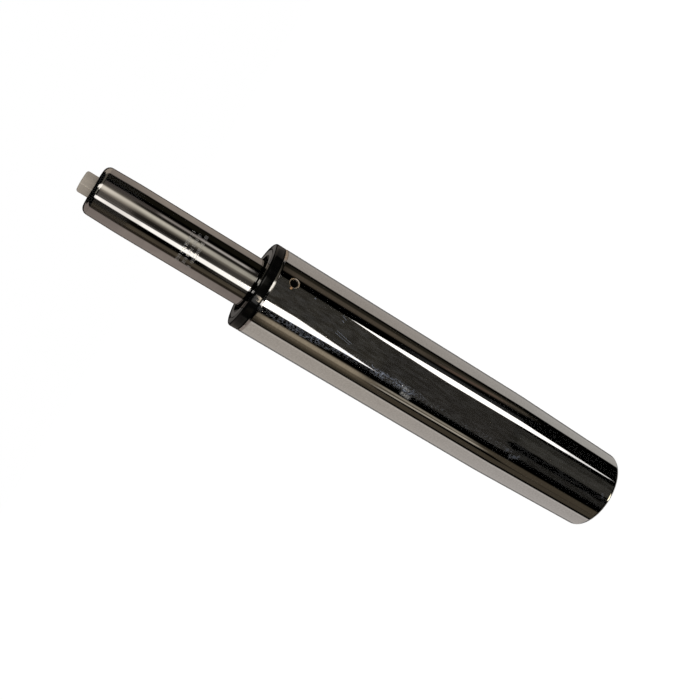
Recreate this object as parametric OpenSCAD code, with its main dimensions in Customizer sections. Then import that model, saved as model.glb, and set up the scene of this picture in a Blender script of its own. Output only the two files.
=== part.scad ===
// Gas lift for a swivel chair. A chromed column with a tapered foot holds a plastic guide bush.
// A pressure tube slides and turns in the bush, on a rod that stands on a thrust bearing in the foot.
// A button on top of the tube opens the gas valve. Millimetres, +Z up, with the foot of the column
// on Z = 0 and the tube drawn part of the way up its stroke.

/* [Column] */
// Outer diameter of the column
column_d = 50; // [48:0.5:56]
// Wall of the column
column_wall = 2; // [1.5:0.1:3]
// Height of the column, from the foot to its top edge
column_h = 230; // [215:1:300]
// Height of the tapered foot that wedges into the chair's base
foot_taper_h = 71; // [50:1:105]
// Slope of the tapered foot, to each side, in degrees
foot_taper_angle = 1.44; // [0.8:0.02:2.4]
// Radius where the foot is rolled inwards
foot_round = 2.1; // [1:0.1:4]
// Width of the lip that is rolled inwards under the base plate
foot_lip_w = 5; // [4:0.5:7]
// Radius on the outside of the top edge
rim_round = 0.5; // [0.3:0.1:1.3]

/* [Lock holes] */
// Diameter of the holes that hold the guide bush
lock_hole_d = 4; // [3:0.1:5]
// Distance of the holes below the top edge of the column
lock_hole_drop = 10; // [8:0.5:20]
// Direction of the first hole, in degrees from +X
lock_hole_turn = -63; // [-180:1:180]
// Width of the bevel around each hole
lock_bevel_w = 0.9; // [0.3:0.1:1]

/* [Guide bush] */
// Height of the collar that stands on the column
collar_h = 5.7; // [4:0.1:12]
// Radius on the upper edge of the collar
collar_round = 1.5; // [0.5:0.1:2]
// Width of the bevel around the tube, on top of the collar
collar_bevel = 3; // [0.5:0.1:4]
// Width of the fine groove on top of the collar
collar_groove_w = 0.8; // [0.4:0.1:1.2]
// Length of the bush inside the column
bush_h = 92; // [70:1:110]
// Wall of the sleeve that guides the tube
bush_wall = 2.4; // [1.6:0.1:3.5]
// Number of ribs between the sleeve and the column
bush_ribs = 8; // [4:1:12]
// Thickness of each rib
bush_rib_t = 2.2; // [1.5:0.1:3]
// Height of the ring at the lower end of the ribs
bush_ring_h = 10; // [6:1:16]
// Height of the guiding land at each end of the sleeve
bush_land_h = 24; // [15:1:32]

/* [Pressure tube] */
// Outer diameter of the pressure tube
tube_d = 28; // [26:0.5:30]
// Wall of the pressure tube
tube_wall = 1.5; // [1.2:0.1:2]
// Height of the taper that wedges into the seat
seat_taper_h = 20; // [14:1:36]
// Slope of that taper, to each side, in degrees
seat_taper_angle = 1.44; // [0.8:0.02:1.6]
// Radius of the rolled edge at each end of the tube
tube_round = 3; // [1.6:0.1:3]

/* [Lift] */
// Length of tube that shows above the collar with the lift right down
closed_out = 43; // [38:1:70]
// Travel of the lift
stroke = 100; // [60:1:120]
// Height of the lift above its lowest position, as drawn
raised = 50; // [0:1:60]

/* [Release button] */
// Diameter of the button
button_d = 12; // [9:0.2:13]
// Height of the button above the tube
button_out = 6.9; // [6:0.1:10]
// Travel of the button
button_travel = 4.5; // [3:0.1:5.5]
// Radius on the upper edge of the button
button_round = 1.2; // [0.4:0.1:2]
// Diameter of the valve pin under the button
pin_d = 5; // [4:0.1:5.6]

/* [Rod and piston] */
// Diameter of the piston rod
rod_d = 10; // [8:0.5:12]
// Width of the shoulder that stands on the bearing
rod_shoulder_w = 1; // [0.8:0.1:1.4]
// Height of the piston
piston_h = 14; // [10:1:20]
// Wall of the inner cylinder that the piston runs in
cylinder_wall = 1; // [0.6:0.1:1.4]
// Gap for gas between the inner cylinder and the pressure tube
gas_gap = 1.2; // [0.8:0.1:1.6]

/* [Foot bearing] */
// Thickness of the base plate
plate_t = 3.5; // [2.5:0.1:4.5]
// Height of the base plate's raised centre above its rim
plate_rise = 6.5; // [5.5:0.1:9]
// Diameter of the bearing balls
ball_d = 4; // [3:0.1:5]
// Thickness of each bearing race
race_t = 2.5; // [2:0.1:3.5]
// Height of the rubber bumper
bumper_h = 12; // [8:1:18]

/* [Hidden] */
$fn = 96;

// Finishes
chrome = [0.72, 0.71, 0.69];
steel = [0.55, 0.55, 0.56];
black_plastic = [0.05, 0.05, 0.05];
ivory_plastic = [0.78, 0.75, 0.68];
natural_plastic = [0.85, 0.84, 0.8];
black_rubber = [0.1, 0.1, 0.1];
aluminium = [0.76, 0.77, 0.78];
brass = [0.78, 0.64, 0.35];

// Clearances, all on the radius or on one face
fit_gap = 0.05;      // between pieces that are pressed or set together
run_gap = 0.06;      // between a turning or sliding piece and its guide
ball_gap = 0.05;     // around each ball in its race
stop_gap = 0.5;      // left at each end of the stroke
cut = 1;             // how far a cutting shape runs past what it cuts

// Column
column_r = column_d / 2;
column_in_r = column_r - column_wall;
foot_r = column_r - foot_taper_h * tan(foot_taper_angle);
foot_lip_r = foot_r - foot_lip_w;
foot_in_r = foot_r + column_wall * tan(foot_taper_angle) - column_wall;
lock_hole_r = lock_hole_d / 2;
lock_z = column_h - lock_hole_drop;
lock_turns = [lock_hole_turn, lock_hole_turn + 180];

// Thrust bearing, stacked on the raised centre of the base plate
rod_r = rod_d / 2;
rod_end_r = rod_r - rod_shoulder_w;
ball_r = ball_d / 2;
groove_depth = 0.3 * ball_r;
race_bore_r = rod_end_r + 1.5;
race_land_w = 1.2;
ball_pitch_r = race_bore_r + race_land_w + ball_r;
race_r = ball_pitch_r + ball_r + race_land_w;
ball_web = 0.7;
ball_step = 2 * asin((ball_r + ball_web / 2) / ball_pitch_r);
ball_count = floor(360 / ball_step);
plate_z = column_wall;
plate_under = plate_z + plate_rise;
plate_top = plate_under + plate_t;
lower_race_top = plate_top + race_t;
ball_z = lower_race_top + ball_r - groove_depth;
upper_race_z = ball_z + ball_r - groove_depth;
shoulder_z = upper_race_z + race_t;
cage_air = 0.3;
cage_t = upper_race_z - lower_race_top - 2 * cage_air;
cage_side_w = 0.8;

// Base plate
plate_bore_r = rod_end_r + run_gap;
plate_r = foot_in_r - fit_gap;
plate_hub_r = race_r + 1;
plate_flange_w = 3;
plate_skirt_r = plate_r - plate_flange_w;
plate_bend = plate_t * tan(atan2(plate_rise, plate_skirt_r - plate_hub_r) / 2);

// Washer and clip under the base plate
clip_washer_t = 1.5;
clip_washer_top = plate_under - 2 * run_gap;
clip_washer_z = clip_washer_top - clip_washer_t;
clip_washer_r = rod_end_r + 5;
clip_t = 1.2;
clip_z = clip_washer_z - clip_t;
clip_r = rod_end_r + 3.6;
clip_groove_r = rod_end_r - 1;
clip_grip = 0.3;
clip_relief_r = 1.5;
clip_relief_turn = 100;
rod_tip = 1.8;
rod_z = clip_z - rod_tip;
rod_chamfer = 0.6;

// Bumper
bumper_washer_t = 1.5;
bumper_z = shoulder_z + bumper_washer_t;
bumper_top = bumper_z + bumper_h;
bumper_wall = 6.2;
bumper_bore_r = rod_r + fit_gap;
bumper_r = bumper_bore_r + bumper_wall;
bumper_washer_r = bumper_r + 0.5;
bumper_waist_r = bumper_h / 4;
bumper_edge = 0.8;

// Pressure tube, as drawn
tube_r = tube_d / 2;
tube_in_r = tube_r - tube_wall;
tube_z = bumper_top + stop_gap + raised;
collar_top = column_h + collar_h;
tube_top = collar_top + closed_out + raised;
taper_z = tube_top - seat_taper_h;
seat_slope = tan(seat_taper_angle);
tube_top_r = tube_r - seat_taper_h * seat_slope;
tube_lip_z = tube_top - tube_wall;
tube_neck_r = tube_top_r + tube_wall * seat_slope - tube_wall;
tube_foot_lip_w = 3.4;
tube_foot_lip_r = tube_r - tube_foot_lip_w;

// Guide bush
bush_z = column_h - bush_h;
bush_r = column_in_r - fit_gap;
bush_bore_r = tube_r + run_gap;
bush_sleeve_r = bush_bore_r + bush_wall;
bush_relief = 0.5;
bush_top_ring_h = lock_hole_drop + lock_hole_r + 4;
collar_r = column_r - fit_gap;
collar_groove_r = collar_r - collar_round - collar_groove_w / 2 - 0.2;
peg_sink = 0.8;
peg_r = lock_hole_r - fit_gap;

// Gland at the lower end of the tube, stacked on the rolled edge
guide_z = tube_z + tube_wall;
guide_h = 10;
guide_lead = 1;
gland_r = tube_in_r - fit_gap;
seal_z = guide_z + guide_h;
seal_h = 6;
seal_washer_z = seal_z + seal_h;
seal_washer_t = 1.5;
seat_z = seal_washer_z + seal_washer_t;
seat_flange_h = 3;
seat_spigot_h = 4;
cylinder_z = seat_z + seat_flange_h;
gland_top = cylinder_z + seat_spigot_h;
seat_slots = 4;
seat_slot_w = 3;
seat_slot_depth = 1.5;

// Inner cylinder
cylinder_r = tube_in_r - gas_gap;
cylinder_in_r = cylinder_r - cylinder_wall;

// Valve at the upper end of the tube, stacked down from the rolled edge
button_r = button_d / 2;
button_guide_h = 8;
button_guide_z = tube_lip_z - button_guide_h;
button_bore_r = button_r + run_gap;
tube_top_lip_r = button_bore_r + 0.4;
valve_top = button_guide_z;
valve_land_top = taper_z - 1;
valve_land_h = 15;
valve_shoulder_z = valve_land_top - valve_land_h;
valve_spigot_h = 8;
valve_z = valve_shoulder_z - valve_spigot_h;
valve_neck_r = tube_neck_r - fit_gap;
valve_land_r = tube_in_r - fit_gap;
valve_spigot_r = cylinder_in_r - fit_gap;
pin_r = pin_d / 2;
pin_bore_r = pin_r + run_gap;
pocket_r = pin_r + 2.5;
pin_seal_r = (pocket_r - pin_r) / 2 - fit_gap;
spacer_h = 4.4;
pocket_h = spacer_h + 4 * (pin_seal_r + fit_gap);
tube_seal_r = 1.2;
tube_seal_z = valve_land_top - 4;
cylinder_seal_r = 0.9;
cylinder_seal_z = valve_z + valve_spigot_h / 2;
gas_hole_d = 2;
gas_hole_z = valve_shoulder_z + 3;
poppet_r = pin_r + 1;
poppet_h = 3;
pin_neck_r = pin_r - 0.8;
button_z = valve_top + button_travel + stop_gap;
button_crown = 4;
pin_top = tube_top + button_out - button_crown;

// Piston, where it meets the gland with the lift right up
piston_z = gland_top - raised + stroke + stop_gap;
piston_r = cylinder_in_r - 4 * fit_gap;
piston_spigot_r = rod_r - 1.6;
piston_seal_r = 1;
piston_seal_z = piston_z + piston_h / 2;
piston_washer_t = 1.2;
piston_nut_z = piston_z + piston_h + piston_washer_t;
piston_nut_h = 4;
piston_nut_r = piston_spigot_r + 3;
piston_washer_r = piston_nut_r + 0.6;
rod_top = piston_nut_z + piston_nut_h + 1;

// Cuts an outward corner of a profile round: the corner lies at p, and its edges run along a and b
module round_corner(p, a, b, r) {
    half = acos(a * b) / 2;
    middle = (a + b) / norm(a + b);
    reach = r / tan(half);
    difference() {
        polygon([p + a * reach, p - middle * r, p + b * reach]);
        translate(p + middle * r / sin(half)) circle(r);
    }
}

// A flat ring
module ring(z, h, bore_r, r) {
    rotate_extrude() translate([bore_r, z]) square([r - bore_r, h]);
}

// A round seal, of radius r in section, that just clears a wall
module round_seal(z, centre_r, r) {
    rotate_extrude() translate([centre_r, z]) circle(r);
}

// Chromed steel tube, swaged to a taper and rolled in at the foot
module outer_column() {
    slope = [sin(foot_taper_angle), cos(foot_taper_angle)];
    color(chrome) difference() {
        rotate_extrude() difference() {
            polygon([
                [foot_lip_r, 0], [foot_r, 0], [column_r, foot_taper_h], [column_r, column_h],
                [column_in_r, column_h], [column_in_r, foot_taper_h], [foot_in_r, column_wall],
                [foot_lip_r, column_wall]
            ]);
            round_corner([foot_r, 0], [-1, 0], slope, foot_round);
            round_corner([column_r, column_h], [-1, 0], [0, -1], rim_round);
        }
        for (turn = lock_turns) rotate([0, 0, turn]) translate([0, 0, lock_z]) rotate([0, 90, 0]) {
            cylinder(h = column_r + cut, r = lock_hole_r);
            translate([0, 0, column_r - lock_bevel_w])
                cylinder(h = 2 * lock_bevel_w, r1 = lock_hole_r, r2 = lock_hole_r + 2 * lock_bevel_w);
        }
    }
}

// Pressed steel plate on the rolled lip, raised in the middle to leave room for the clip
module base_plate() {
    color(steel) rotate_extrude() polygon([
        [plate_bore_r, plate_under], [plate_bore_r, plate_top], [plate_hub_r, plate_top],
        [plate_skirt_r, plate_z + plate_t], [plate_r, plate_z + plate_t], [plate_r, plate_z],
        [plate_skirt_r - plate_bend, plate_z], [plate_hub_r - plate_bend, plate_under]
    ]);
}

// A race of the thrust bearing, with the track that the balls run in
module race(z, bore_r) {
    rotate_extrude() difference() {
        translate([bore_r, z]) square([race_r - bore_r, race_t]);
        translate([ball_pitch_r, ball_z]) circle(ball_r + ball_gap);
    }
}

// Race that stands still on the base plate
module lower_race() {
    color(steel) race(plate_top, race_bore_r);
}

// Race that turns with the rod
module upper_race() {
    color(steel) race(upper_race_z, rod_end_r + fit_gap);
}

// Places its children at each ball
module at_each_ball() {
    for (i = [0:ball_count - 1]) rotate([0, 0, i * 360 / ball_count])
        translate([ball_pitch_r, 0, ball_z]) children();
}

// Plastic ring that spaces the balls
module ball_cage() {
    reach = ball_r + cage_side_w;
    color(natural_plastic) difference() {
        ring(ball_z - cage_t / 2, cage_t, ball_pitch_r - reach, ball_pitch_r + reach);
        at_each_ball() sphere(ball_r + ball_gap);
    }
}

// Balls of the thrust bearing
module bearing_balls() {
    color(steel) at_each_ball() sphere(ball_r);
}

// Moulded sleeve that guides the tube, with ribs out to the column and a collar on top of it
module guide_bush() {
    color(black_plastic) {
        rotate_extrude() difference() {
            union() {
                translate([bush_bore_r, bush_z]) square([bush_wall, bush_h]);
                translate([bush_bore_r, bush_z]) square([bush_r - bush_bore_r, bush_ring_h]);
                translate([bush_bore_r, column_h - bush_top_ring_h])
                    square([bush_r - bush_bore_r, bush_top_ring_h]);
                translate([bush_bore_r, column_h]) square([collar_r - bush_bore_r, collar_h]);
            }
            round_corner([collar_r, collar_top], [-1, 0], [0, -1], collar_round);
            polygon([
                [bush_bore_r - cut, collar_top + cut],
                [bush_bore_r + collar_bevel + cut, collar_top + cut],
                [bush_bore_r - cut, collar_top - collar_bevel - cut]
            ]);
            polygon([
                [collar_groove_r - collar_groove_w / 2, collar_top],
                [collar_groove_r - collar_groove_w / 2, collar_top + cut],
                [collar_groove_r + collar_groove_w / 2, collar_top + cut],
                [collar_groove_r + collar_groove_w / 2, collar_top],
                [collar_groove_r, collar_top - collar_groove_w / 2]
            ]);
            translate([bush_bore_r - cut, bush_z + bush_land_h])
                square([cut + bush_relief, bush_h + collar_h - 2 * bush_land_h]);
        }
        intersection() {
            ring(bush_z, bush_h, bush_sleeve_r - fit_gap, bush_r);
            for (i = [0:bush_ribs - 1]) rotate([0, 0, i * 360 / bush_ribs])
                translate([0, -bush_rib_t / 2, bush_z]) cube([column_r, bush_rib_t, bush_h]);
        }
        for (turn = lock_turns) rotate([0, 0, turn]) translate([0, 0, lock_z])
            rotate([0, 90, 0]) translate([0, 0, bush_sleeve_r])
                cylinder(h = column_r - peg_sink - bush_sleeve_r, r = peg_r);
    }
}

// Ground steel rod, stepped at the foot for the bearing and the clip, and at the top for the piston
module piston_rod() {
    color(steel) rotate_extrude() polygon([
        [0, rod_z], [rod_end_r - rod_chamfer, rod_z], [rod_end_r, rod_z + rod_chamfer],
        [rod_end_r, clip_z - fit_gap], [clip_groove_r, clip_z - fit_gap],
        [clip_groove_r, clip_washer_z], [rod_end_r, clip_washer_z],
        [rod_end_r, shoulder_z], [rod_r, shoulder_z],
        [rod_r, piston_z], [piston_spigot_r, piston_z],
        [piston_spigot_r, rod_top - rod_chamfer], [piston_spigot_r - rod_chamfer, rod_top], [0, rod_top]
    ]);
}

// Washer under the base plate
module clip_washer() {
    color(steel) ring(clip_washer_z, clip_washer_t, rod_end_r + fit_gap, clip_washer_r);
}

// Spring clip that slides into the groove of the rod from one side
module retaining_clip() {
    mouth_w = 2 * (clip_groove_r - clip_grip);
    color(steel) translate([0, 0, clip_z]) linear_extrude(clip_t) difference() {
        circle(clip_r);
        circle(clip_groove_r + fit_gap);
        translate([0, -mouth_w / 2]) square([clip_r + cut, mouth_w]);
        for (side = [-1, 1]) rotate(side * clip_relief_turn)
            translate([clip_groove_r + clip_relief_r, 0]) circle(clip_relief_r);
    }
}

// Washer that carries the bumper
module bumper_washer() {
    color(steel) ring(shoulder_z, bumper_washer_t, rod_r + fit_gap, bumper_washer_r);
}

// Waisted rubber ring that ends the downward stroke
module bumper() {
    color(black_rubber) rotate_extrude() difference() {
        translate([bumper_bore_r, bumper_z]) square([bumper_wall, bumper_h]);
        translate([bumper_r + bumper_waist_r / 2, bumper_z + bumper_h / 2]) circle(bumper_waist_r);
        round_corner([bumper_r, bumper_top], [-1, 0], [0, -1], bumper_edge);
        round_corner([bumper_r, bumper_z], [-1, 0], [0, 1], bumper_edge);
    }
}

// A square groove for a round seal of radius r, cut into a wall from the side at wall_r
module seal_groove(z, wall_r, seal_r, depth) {
    half = seal_r + fit_gap;
    translate([wall_r - depth, z - half]) square([depth + cut, 2 * half]);
}

// Piston, which parts the gas above it from the gas below
module piston() {
    color(aluminium) rotate_extrude() difference() {
        translate([piston_spigot_r + fit_gap, piston_z])
            square([piston_r - piston_spigot_r - fit_gap, piston_h]);
        seal_groove(piston_seal_z, piston_r, piston_seal_r, 2 * piston_seal_r);
    }
}

// Rubber ring around the piston
module piston_seal() {
    color(black_rubber) round_seal(piston_seal_z, cylinder_in_r - run_gap - piston_seal_r, piston_seal_r);
}

// Washer on top of the piston
module piston_washer() {
    color(steel) ring(piston_z + piston_h, piston_washer_t, piston_spigot_r + fit_gap, piston_washer_r);
}

// Nut that holds the piston on the rod
module piston_nut() {
    color(steel) translate([0, 0, piston_nut_z]) difference() {
        cylinder(h = piston_nut_h, r = piston_nut_r, $fn = 6);
        translate([0, 0, -cut]) cylinder(h = piston_nut_h + 2 * cut, r = piston_spigot_r + fit_gap);
    }
}

// Chromed steel tube, tapered at the top and rolled in at both ends
module pressure_tube() {
    slope = [sin(seat_taper_angle), -cos(seat_taper_angle)];
    color(chrome) rotate_extrude() difference() {
        polygon([
            [tube_foot_lip_r, tube_z], [tube_r, tube_z], [tube_r, taper_z], [tube_top_r, tube_top],
            [tube_top_lip_r, tube_top], [tube_top_lip_r, tube_lip_z], [tube_neck_r, tube_lip_z],
            [tube_in_r, taper_z], [tube_in_r, tube_z + tube_wall], [tube_foot_lip_r, tube_z + tube_wall]
        ]);
        round_corner([tube_r, tube_z], [-1, 0], [0, 1], tube_round);
        round_corner([tube_top_r, tube_top], [-1, 0], slope, tube_round);
    }
}

// Bush at the lower end of the tube that the rod slides in
module rod_guide() {
    color(natural_plastic) rotate_extrude() polygon([
        [rod_r + run_gap + guide_lead, guide_z], [gland_r, guide_z], [gland_r, seal_z],
        [rod_r + run_gap, seal_z], [rod_r + run_gap, guide_z + guide_lead]
    ]);
}

// Rubber lip seal around the rod, open towards the gas
module rod_seal() {
    wall = (gland_r - rod_r - run_gap) / 3;
    color(black_rubber) rotate_extrude() polygon([
        [rod_r + run_gap, seal_z], [gland_r, seal_z], [gland_r, seal_washer_z],
        [gland_r - wall, seal_washer_z], [(rod_r + run_gap + gland_r) / 2, seal_z + seal_h / 2],
        [rod_r + run_gap + wall, seal_washer_z], [rod_r + run_gap, seal_washer_z]
    ]);
}

// Steel washer that backs the seal
module seal_washer() {
    color(steel) ring(seal_washer_z, seal_washer_t, rod_r + 2 * run_gap, gland_r);
}

// Ring that centres the foot of the inner cylinder, slotted to let the gas through
module cylinder_seat() {
    spigot_r = cylinder_in_r - fit_gap;
    color(aluminium) difference() {
        union() {
            ring(seat_z, seat_flange_h, rod_r + 4 * run_gap, gland_r);
            ring(seat_z, seat_flange_h + seat_spigot_h, rod_r + 4 * run_gap, spigot_r);
        }
        for (i = [0:seat_slots - 1]) rotate([0, 0, i * 360 / seat_slots])
            translate([0, -seat_slot_w / 2, cylinder_z - seat_slot_depth])
                cube([gland_r + cut, seat_slot_w, seat_slot_depth + seat_spigot_h + cut]);
    }
}

// Thin tube that the piston runs in
module inner_cylinder() {
    color(steel) ring(cylinder_z, valve_shoulder_z - cylinder_z, cylinder_in_r, cylinder_r);
}

// Valve block: a neck in the taper, a sealing land below it and a spigot in the inner cylinder
module valve_body() {
    color(brass) difference() {
        rotate_extrude() difference() {
            polygon([
                [pin_bore_r, valve_z], [valve_spigot_r, valve_z], [valve_spigot_r, valve_shoulder_z],
                [valve_land_r, valve_shoulder_z], [valve_land_r, valve_land_top],
                [valve_neck_r, valve_land_top], [valve_neck_r, valve_top],
                [pocket_r, valve_top], [pocket_r, valve_top - pocket_h], [pin_bore_r, valve_top - pocket_h]
            ]);
            seal_groove(tube_seal_z, valve_land_r, tube_seal_r, 2 * tube_seal_r);
            seal_groove(cylinder_seal_z, valve_spigot_r, cylinder_seal_r, 2 * cylinder_seal_r);
        }
        translate([0, 0, gas_hole_z]) rotate([0, 90, 0])
            cylinder(h = 2 * (tube_r + cut), d = gas_hole_d, center = true);
    }
}

// Seal between the valve block and the pressure tube
module valve_tube_seal() {
    color(black_rubber) round_seal(tube_seal_z, tube_in_r - fit_gap - tube_seal_r, tube_seal_r);
}

// Seal between the valve block and the inner cylinder
module valve_cylinder_seal() {
    color(black_rubber)
        round_seal(cylinder_seal_z, cylinder_in_r - fit_gap - cylinder_seal_r, cylinder_seal_r);
}

// Two seals around the valve pin
module pin_seals() {
    centre_r = (pin_r + pocket_r) / 2;
    room = pin_seal_r + fit_gap;
    color(black_rubber) for (z = [valve_top - room, valve_top - pocket_h + room])
        round_seal(z, centre_r, pin_seal_r);
}

// Sleeve that keeps the two pin seals apart
module pin_seal_spacer() {
    color(natural_plastic) ring(
        valve_top - (pocket_h + spacer_h) / 2, spacer_h, pin_r + run_gap, pocket_r - fit_gap
    );
}

// Plug under the rolled edge of the tube that the button slides in
module button_guide() {
    color(natural_plastic) ring(button_guide_z, button_guide_h, button_bore_r, valve_neck_r);
}

// Moulded cap, pressed on the valve pin
module release_button() {
    color(ivory_plastic) rotate_extrude() difference() {
        polygon([
            [0, pin_top], [0, tube_top + button_out], [button_r, tube_top + button_out],
            [button_r, button_z], [pin_r + fit_gap, button_z], [pin_r + fit_gap, pin_top]
        ]);
        round_corner([button_r, tube_top + button_out], [-1, 0], [0, -1], button_round);
    }
}

// Steel pin, necked where the gas passes and headed where it shuts the valve
module valve_pin() {
    neck_top = valve_top - pocket_h - stop_gap;
    neck_foot = valve_z + valve_spigot_h / 2;
    color(steel) rotate_extrude() polygon([
        [0, valve_z - poppet_h], [poppet_r, valve_z - poppet_h], [poppet_r, valve_z],
        [pin_r, valve_z], [pin_r, neck_foot], [pin_neck_r, neck_foot],
        [pin_neck_r, neck_top], [pin_r, neck_top], [pin_r, pin_top], [0, pin_top]
    ]);
}

outer_column();
base_plate();
lower_race();
guide_bush();
ball_cage();
bearing_balls();
piston_rod();
upper_race();
clip_washer();
retaining_clip();
bumper_washer();
bumper();
piston();
piston_seal();
piston_washer();
piston_nut();
pressure_tube();
rod_guide();
rod_seal();
seal_washer();
cylinder_seat();
inner_cylinder();
valve_body();
valve_tube_seal();
valve_cylinder_seal();
pin_seals();
pin_seal_spacer();
button_guide();
release_button();
valve_pin();
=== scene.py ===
"""Looks of a chair gas lift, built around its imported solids: metres, +Z up, the foot on Z = 0."""
import math
import bmesh
import bpy
from mathutils import Matrix, Vector


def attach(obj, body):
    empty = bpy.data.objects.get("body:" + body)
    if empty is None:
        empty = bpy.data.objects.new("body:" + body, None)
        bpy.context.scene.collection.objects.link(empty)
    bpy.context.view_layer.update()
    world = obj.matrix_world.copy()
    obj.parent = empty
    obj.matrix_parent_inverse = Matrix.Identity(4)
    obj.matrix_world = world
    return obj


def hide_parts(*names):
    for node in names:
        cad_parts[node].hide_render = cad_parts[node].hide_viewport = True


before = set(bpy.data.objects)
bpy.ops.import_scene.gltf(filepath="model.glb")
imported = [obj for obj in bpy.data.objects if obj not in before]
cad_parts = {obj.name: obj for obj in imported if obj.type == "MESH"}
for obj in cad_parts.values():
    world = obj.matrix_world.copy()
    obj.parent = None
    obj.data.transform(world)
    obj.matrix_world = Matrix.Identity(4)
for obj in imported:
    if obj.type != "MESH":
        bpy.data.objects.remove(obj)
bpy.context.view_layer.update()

# Outer column: a drawn steel tube, swaged to a taper that wedges into the chair's base and rolled in
# at the foot. It is plated with copper, nickel and bright chrome. Two drilled and bevelled holes near
# its top edge lock the guide bush. The plating is thin on their edges and on the rim, and the copper
# colour there is partly a painted reflection; the bores and the inner edges of the bevels are painted
# dark for the shade in the holes.
MM = 0.001
same_point = 0.001 * MM
crease_angle = math.radians(30)
column_r = 25 * MM
column_in_r = 23 * MM
column_h = 230 * MM
rim_bevel_h = 1.2 * MM
rim_bevel_w = 0.3 * MM
foot_taper_h = 71 * MM
foot_slope = math.tan(math.radians(1.44))
foot_r = column_r - foot_taper_h * foot_slope
foot_round = 2.1 * MM
foot_lip_r = foot_r - 5 * MM
foot_lip_h = 2 * MM
foot_lip_round = 0.4 * MM
foot_in_r = foot_r + foot_lip_h * foot_slope - 2 * MM
swage_round = 300 * MM
lock_z = 220 * MM
lock_turn = math.radians(-63)
lock_hole_r = 2 * MM
lock_bevel_w = 0.9 * MM
burr_z = lock_z + 0.5 * MM
burr_turn = math.radians(-70.5)
burr_size = (0.2 * MM, 0.8 * MM, 0.7 * MM)


def rounded_outline(corners):
    """Rounds the corners, each (radius, height, rounding), of a closed outline.
    A point close outside each rounding keeps the flat beside it flat in the reflections."""
    hold = 0.04 * MM
    steps = 10
    points = []
    for i, (radius, height, rounding) in enumerate(corners):
        corner = Vector((radius, height))
        if not rounding:
            points.append(corner)
            continue
        back = (Vector(corners[i - 1][:2]) - corner).normalized()
        ahead = (Vector(corners[(i + 1) % len(corners)][:2]) - corner).normalized()
        half = back.angle(ahead) / 2
        reach = rounding / math.tan(half)
        centre = corner + (back + ahead).normalized() * rounding / math.sin(half)
        first = corner + back * reach - centre
        last = corner + ahead * reach - centre
        points.append(corner + back * (reach + hold))
        for step in range(steps + 1):
            points.append(centre + first.lerp(last, step / steps).normalized() * rounding)
        points.append(corner + ahead * (reach + hold))
    return points


def add(tree, kind, inputs, **settings):
    """Adds a node: each input is a value, or the socket that it comes from."""
    node = tree.nodes.new(kind)
    for setting, value in settings.items():
        setattr(node, setting, value)
    for socket, value in inputs.items():
        if isinstance(value, bpy.types.NodeSocket):
            tree.links.new(value, node.inputs[socket])
        else:
            node.inputs[socket].default_value = value
    return node


def calc(tree, operation, *values):
    """A calculation with one to three values in a node tree."""
    return add(tree, "ShaderNodeMath", dict(enumerate(values)), operation=operation).outputs[0]


def shaping_tree(name, **sizes):
    """Starts a Geometry Nodes tree with its named sizes, and gives the tree and its input node."""
    tree = bpy.data.node_groups.new(name, "GeometryNodeTree")
    tree.is_modifier = True
    tree.interface.new_socket("Shape", in_out="INPUT", socket_type="NodeSocketGeometry")
    for size, kind in sizes.items():
        tree.interface.new_socket(size, in_out="INPUT", socket_type="NodeSocket" + kind)
    tree.interface.new_socket("Shape", in_out="OUTPUT", socket_type="NodeSocketGeometry")
    return tree, tree.nodes.new("NodeGroupInput")


def smooth_shape(tree, shape, edge_angle):
    """Shades a shape smooth in a tree, but for the edges that turn by more than an angle."""
    turn = add(tree, "GeometryNodeInputMeshEdgeAngle", {}).outputs["Unsigned Angle"]
    soft_edge = calc(tree, "LESS_THAN", turn, edge_angle)
    faces = add(tree, "GeometryNodeSetShadeSmooth", {"Geometry": shape, "Shade Smooth": True}, domain="FACE")
    edges = {"Geometry": faces.outputs[0], "Shade Smooth": soft_edge}
    return add(tree, "GeometryNodeSetShadeSmooth", edges, domain="EDGE").outputs[0]


def finish_shape(tree, shape, *finishes):
    """Ends a tree: realizes the shape and sets its finishes, each a material and the faces it is on."""
    shape = add(tree, "GeometryNodeRealizeInstances", {"Geometry": shape}).outputs[0]
    for material, faces in finishes:
        finish = {"Geometry": shape, "Material": material, "Selection": faces}
        shape = add(tree, "GeometryNodeSetMaterial", finish).outputs[0]
    add(tree, "NodeGroupOutput", {0: shape})


def new_object(name, data):
    """Puts a new object in the scene."""
    made = bpy.data.objects.new(name, data)
    bpy.context.scene.collection.objects.link(made)
    return made


def settle(piece, modifier):
    """Gives a piece the plain mesh that a modifier makes of it, and takes the modifier off."""
    made = piece.evaluated_get(bpy.context.evaluated_depsgraph_get())
    piece.data = bpy.data.meshes.new_from_object(made)
    piece.modifiers.remove(modifier)


def shape_piece(piece, tree, **sizes):
    """Gives a piece the plain mesh that a Geometry Nodes tree makes of it, with its faces outwards."""
    nodes = piece.modifiers.new(tree.name, "NODES")
    nodes.node_group = tree
    for socket in tree.interface.items_tree:
        if socket.in_out == "INPUT" and socket.name in sizes:
            nodes[socket.identifier] = sizes[socket.name]
    settle(piece, nodes)
    shell = bmesh.new()
    shell.from_mesh(piece.data)
    bmesh.ops.remove_doubles(shell, verts=shell.verts, dist=same_point)
    bmesh.ops.recalc_face_normals(shell, faces=shell.faces)
    shell.to_mesh(piece.data)
    shell.free()


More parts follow.
